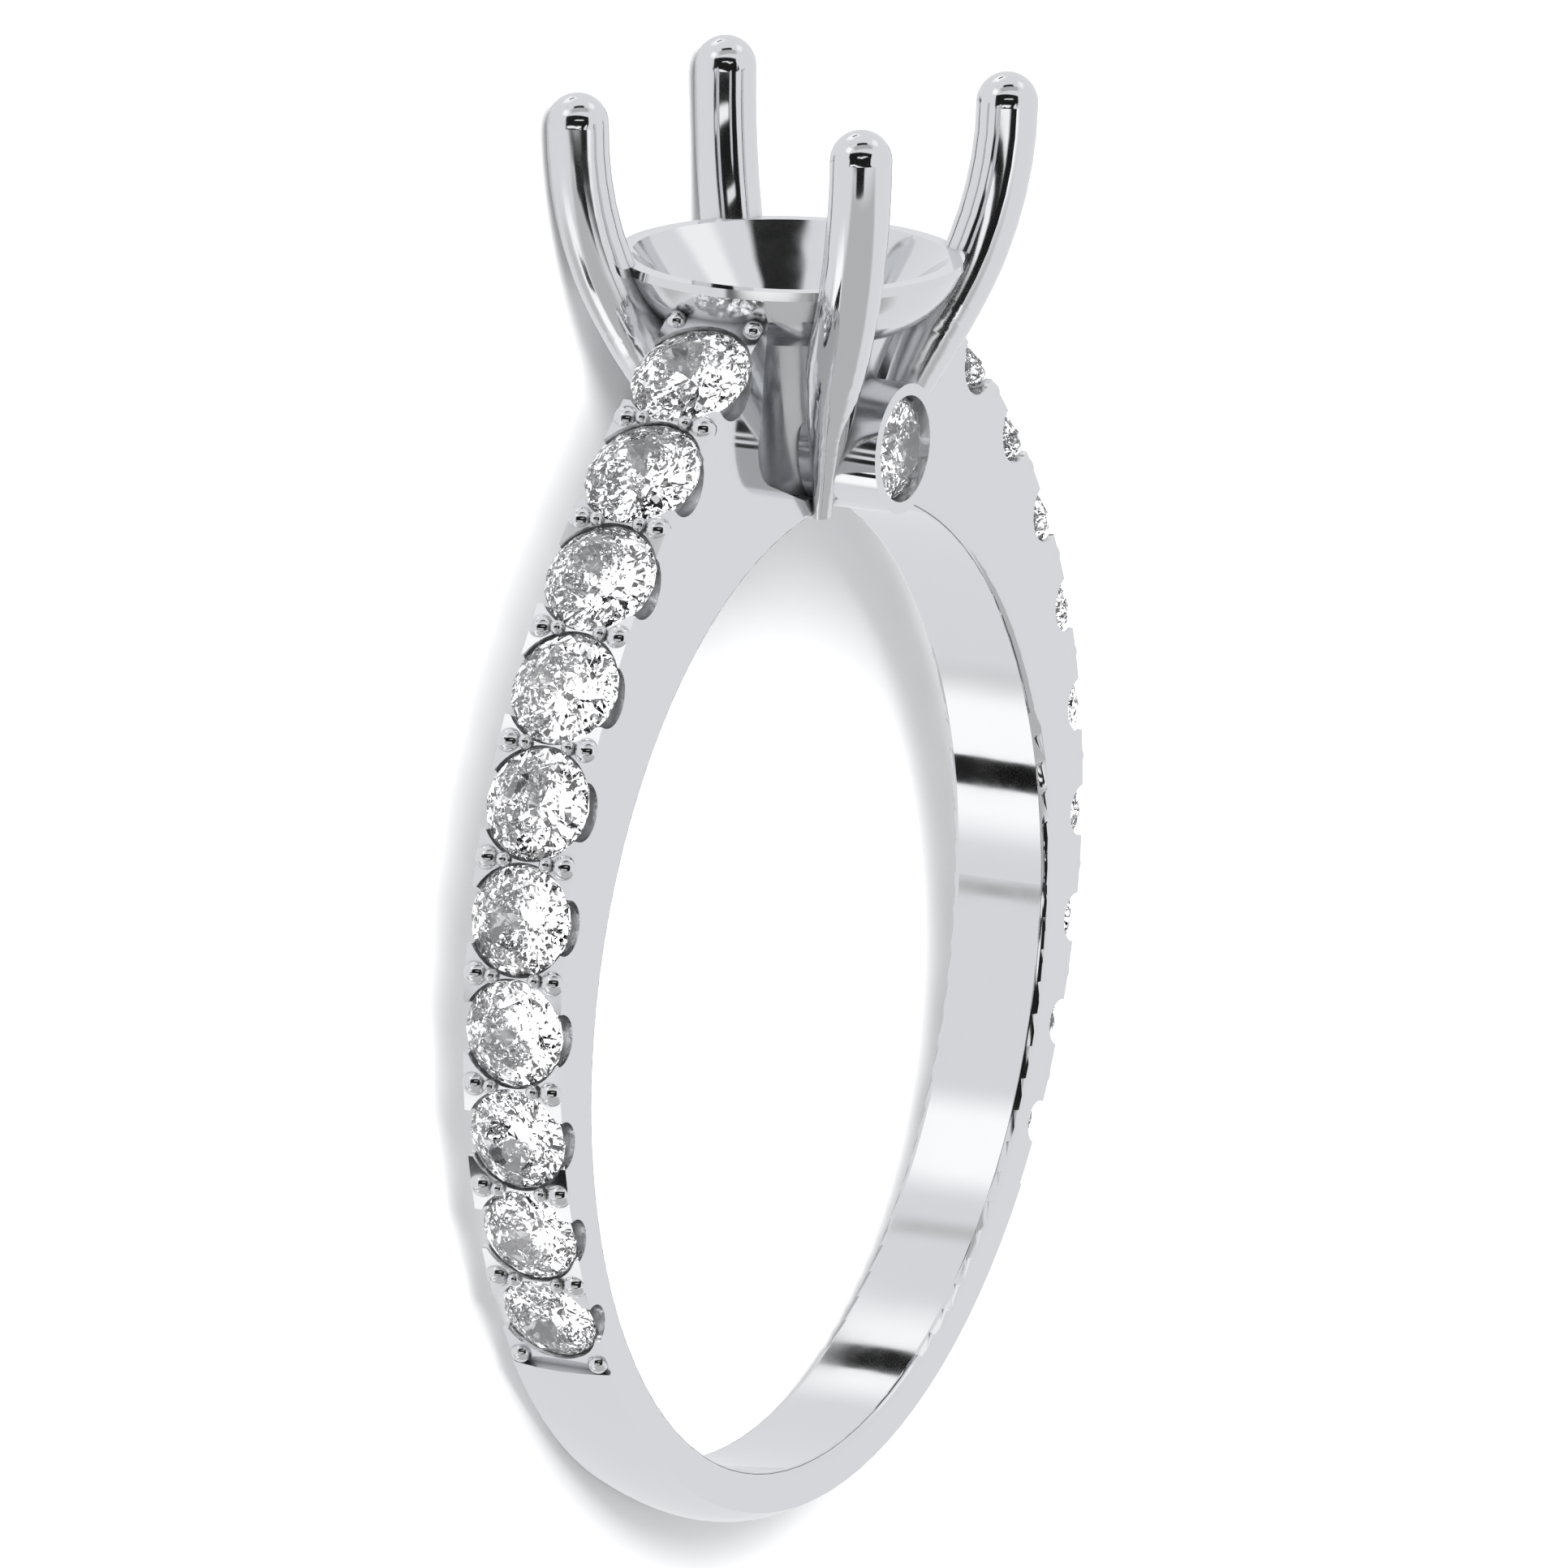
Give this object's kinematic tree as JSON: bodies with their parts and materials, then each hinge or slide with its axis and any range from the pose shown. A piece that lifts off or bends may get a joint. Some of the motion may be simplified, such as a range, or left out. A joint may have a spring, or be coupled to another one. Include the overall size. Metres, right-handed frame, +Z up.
{
  "type": "side stone engagement ring mount",
  "caption": "Slim finger ring with round stones down both shoulders and a tall four-prong head waiting for its centre stone.",
  "frame": {"origin": "on the table under the middle of the ring's bounding box, as the ring lies on its side", "axes": "+Y across the finger hole from the plain band to the head, +Z up from the table, along the finger, +X across the finger to the right"},
  "size_m": [0.0202, 0.0258, 0.0067],
  "materials": {
    "white_gold": "polished",
    "diamond": "polished"
  },
  "bodies": {
    "root": {"bezel_stone_back": "diamond", "bezel_stone_front": "diamond", "ring_mount": "white_gold", "side_stone_left_01": "diamond", "side_stone_left_02": "diamond", "side_stone_left_03": "diamond", "side_stone_left_04": "diamond", "side_stone_left_05": "diamond", "side_stone_left_06": "diamond", "side_stone_left_07": "diamond", "side_stone_left_08": "diamond", "side_stone_left_09": "diamond", "side_stone_left_10": "diamond", "side_stone_right_01": "diamond", "side_stone_right_02": "diamond", "side_stone_right_03": "diamond", "side_stone_right_04": "diamond", "side_stone_right_05": "diamond", "side_stone_right_06": "diamond", "side_stone_right_07": "diamond", "side_stone_right_08": "diamond", "side_stone_right_09": "diamond", "side_stone_right_10": "diamond"}
  },
  "joints": []
}
